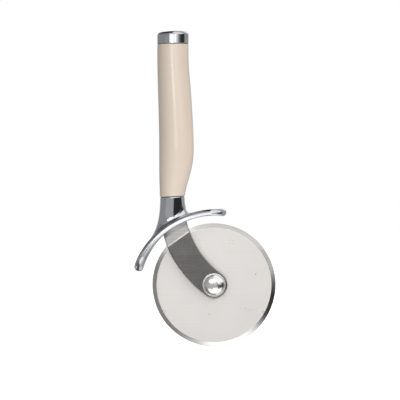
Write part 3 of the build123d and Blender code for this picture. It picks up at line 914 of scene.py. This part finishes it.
def make_floor():
    """A white sweep that only the camera sees; reflections take the room's own lower half instead."""
    half = FLOOR_HALF
    mesh = bpy.data.meshes.new("floor")
    mesh.from_pydata([(-half, -half, 0), (half, -half, 0), (half, half, 0), (-half, half, 0)], [],
                     [(0, 1, 2, 3)])
    graph = Graph("floor_paper")
    paper = graph.blended(graph.noise(graph.coordinates, FLOOR_CLOUD), FLOOR_DARK, FLOOR_LIGHT)
    graph.link(paper, graph.shader.inputs["Base Color"])
    graph.shader.inputs["Roughness"].default_value = FLOOR_ROUGHNESS
    graph.shader.inputs["Emission Color"].default_value = (1, 1, 1, 1)
    graph.shader.inputs["Emission Strength"].default_value = FLOOR_GLOW
    mesh.materials.append(graph.material)
    floor = bpy.data.objects.new("floor", mesh)
    floor.location = (0, 0, blade_low.z)
    floor.visible_glossy = False
    floor.visible_diffuse = False
    bpy.context.scene.collection.objects.link(floor)


BEARING_LIMIT = 180
ELEVATION_LIMIT = 90
ROOM_GREY = 0.33
# Panels of the room, later ones in front, in degrees: bearings from the front towards +X, the fade of each
# side, elevations, the fade of both ends, and the grey level.
ROOM_PANELS = [
    ((-180, 180), (0, 0), (50, 90), 10, 0.60),
    ((90, 180), (20, 0), (-30, 20), 6, 0.41),
    ((80, 180), (20, 0), (18, 80), 6, 0.50),
    ((-180, -80), (0, 20), (18, 80), 6, 0.25),
    ((130, 180), (6, 0), (11, 42), 4, 1.10),
    ((-180, -165), (0, 6), (11, 42), 4, 1.10),
    ((-4, 85), (6, 12), (12, 82), 3, 1.10),
    ((-30, -4), (3, 6), (12, 82), 3, 0.58),
    ((-25, 20), (2, 2), (11, 27), 2, 0.30),
    ((-180, 180), (0, 0), (-90, -32), 8, 0.80),
    ((-110, -25), (10, 10), (-60, -15), 6, 0.20),
    ((-25, 60), (3, 10), (-62, -19), 3, 1.20),
    ((-38, 10), (6, 6), (-62, -19), 3, 1.30),
    ((-3, 14), (2, 4), (-23, -11), 2, 2.60),
    ((-60, 10), (20, 8), (-14, 3), 3, 0.445),
    ((14.5, 96), (2, 2), (-14, 1.5), 2, 0.03),
    ((17, 96), (2, 20), (1.5, 14), 2, 0.035),
    ((17, 56), (1, 36), (1.5, 14), 2, 0.22),
    ((17, 36), (1, 36), (1.5, 14), 2, 1.3),
]
# Level boards above (1) or below (-1): their run across and towards the rear, as shares of their height,
# and the grey level.
LEVEL_BOARDS = [
    (1, (-1.60, -0.58), (-0.42, 4.0), 0.14),
    (1, (-0.62, -0.03), (-0.42, 4.0), 0.02),
    (-1, (-0.70, 0.16), (-0.42, 3.0), 0.12),
]
BOARD_FADE = 0.08
BOARD_REACH = 100
HORIZON = 0.01


def room_nodes(world):
    """Small helpers that add nodes to the world: arithmetic, a smooth ramp, a window and a layer."""
    nodes, links = world.node_tree.nodes, world.node_tree.links

    def arithmetic(operation, first, second=None):
        node = nodes.new("ShaderNodeMath")
        node.operation = operation
        for socket, value in zip(node.inputs, (first, second)):
            if isinstance(value, (int, float)):
                socket.default_value = value
            elif value is not None:
                links.new(value, socket)
        return node.outputs[0]

    def ramp(value, middle, fade):
        node = nodes.new("ShaderNodeMapRange")
        node.interpolation_type = "SMOOTHSTEP"
        node.inputs["From Min"].default_value = middle - fade / 2
        node.inputs["From Max"].default_value = middle + fade / 2
        links.new(value, node.inputs["Value"])
        return node.outputs["Result"]

    def window(value, ends, fades, limit):
        rising = 1.0 if ends[0] <= -limit else ramp(value, ends[0], fades[0])
        falling = 0.0 if ends[1] >= limit else ramp(value, ends[1], fades[1])
        return arithmetic("SUBTRACT", rising, falling)

    def layer(share, level, behind):
        unseen = arithmetic("SUBTRACT", 1.0, share)
        return arithmetic("ADD", arithmetic("MULTIPLY", share, level), arithmetic("MULTIPLY", unseen, behind))

    return arithmetic, window, layer


def make_world():
    """A grey room with white panels and dark boards, seen in reflections; the camera sees plain white."""
    world = bpy.data.worlds.new("studio")
    bpy.context.scene.world = world
    world.use_nodes = True
    nodes, links = world.node_tree.nodes, world.node_tree.links
    arithmetic, window, layer = room_nodes(world)
    split = nodes.new("ShaderNodeSeparateXYZ")
    links.new(nodes.new("ShaderNodeTexCoord").outputs["Generated"], split.inputs[0])
    east, north, up = split.outputs
    bearing = arithmetic("DEGREES", arithmetic("ARCTAN2", east, arithmetic("MULTIPLY", north, -1.0)))
    elevation = arithmetic("DEGREES", arithmetic("ARCSINE", up))
    room = ROOM_GREY
    for bearings, side_fades, elevations, end_fade, level in ROOM_PANELS:
        sideways = window(bearing, bearings, side_fades, BEARING_LIMIT)
        upright = window(elevation, elevations, (end_fade, end_fade), ELEVATION_LIMIT)
        room = layer(arithmetic("MULTIPLY", sideways, upright), level, room)
    for way, across, rearward, level in LEVEL_BOARDS:
        height = arithmetic("MULTIPLY", up, way)
        beyond = arithmetic("GREATER_THAN", height, 0.0)
        height = arithmetic("MAXIMUM", height, HORIZON)
        fades = (BOARD_FADE, BOARD_FADE)
        sideways = window(arithmetic("DIVIDE", east, height), across, fades, BOARD_REACH)
        lengthways = window(arithmetic("DIVIDE", north, height), rearward, fades, BOARD_REACH)
        share = arithmetic("MULTIPLY", arithmetic("MULTIPLY", sideways, lengthways), beyond)
        room = layer(share, level, room)
    seen = nodes.new("ShaderNodeLightPath").outputs["Is Camera Ray"]
    background = nodes["Background"]
    links.new(layer(seen, 1.0, room), background.inputs["Strength"])
    background.inputs["Color"].default_value = (1, 1, 1, 1)


OBJECT_MIDDLE = (-0.02, 0.0, 0.11)
FRONT_PANELS = {
    # name: (west, east, low, high, radiance, distance)
    "front_strip": (-0.52, 0.352, 0.240, 0.366, 1.08, 1.05),
    "front_panel_west": (-0.52, -0.15, 0.366, 0.62, 1.65, 1.05),
    "front_panel_east": (-0.15, 0.352, 0.366, 0.62, 0.90, 1.05),
    "grip_strip": (-0.20, 0.10, 0.122, 0.238, 1.3, 1.05),
    "fork_glint": (-0.22, -0.09, 0.190, 0.310, 3.4, 1.0),
}
FILLS = {
    # name: (place, aim, size, radiance)
    "low_fill": ((0.0, -0.12, 0.015), (0.0, 0.0, 0.02), 0.12, 1.02),
    "left_fill": ((-0.9, -0.6, 0.4), OBJECT_MIDDLE, 0.6, 1.3),
    "key": ((0.9, -0.8, 0.8), OBJECT_MIDDLE, 0.6, 4.2),
    "rear_fill": ((-0.5, 1.3, 0.6), OBJECT_MIDDLE, 0.8, 3.0),
}


def make_light(name, place, aim, size, radiance, in_gloss):
    """A square or oblong soft box of a given radiance, unseen by the camera."""
    data = bpy.data.lights.new(name, "AREA")
    data.shape = "RECTANGLE"
    data.size, data.size_y = size
    data.energy = radiance * math.pi * data.size * data.size_y
    light = bpy.data.objects.new(name, data)
    light.location = place
    light.rotation_euler = (Vector(aim) - Vector(place)).to_track_quat("-Z", "Y").to_euler()
    light.visible_camera = False
    light.visible_glossy = in_gloss
    bpy.context.scene.collection.objects.link(light)


def make_lights():
    """Soft boxes square to the front that the chrome reflects, then fills that only light the surfaces."""
    for name, (west, east, low, high, radiance, distance) in FRONT_PANELS.items():
        x, z = (west + east) / 2, (low + high) / 2
        make_light(name, (x, -distance, z), (x, 0, z), (east - west, high - low), radiance, True)
    for name, (place, aim, size, radiance) in FILLS.items():
        make_light(name, place, aim, (size, size), radiance, False)


make_camera()
make_floor()
make_world()
make_lights()
bpy.context.scene.view_settings.view_transform = "Standard"
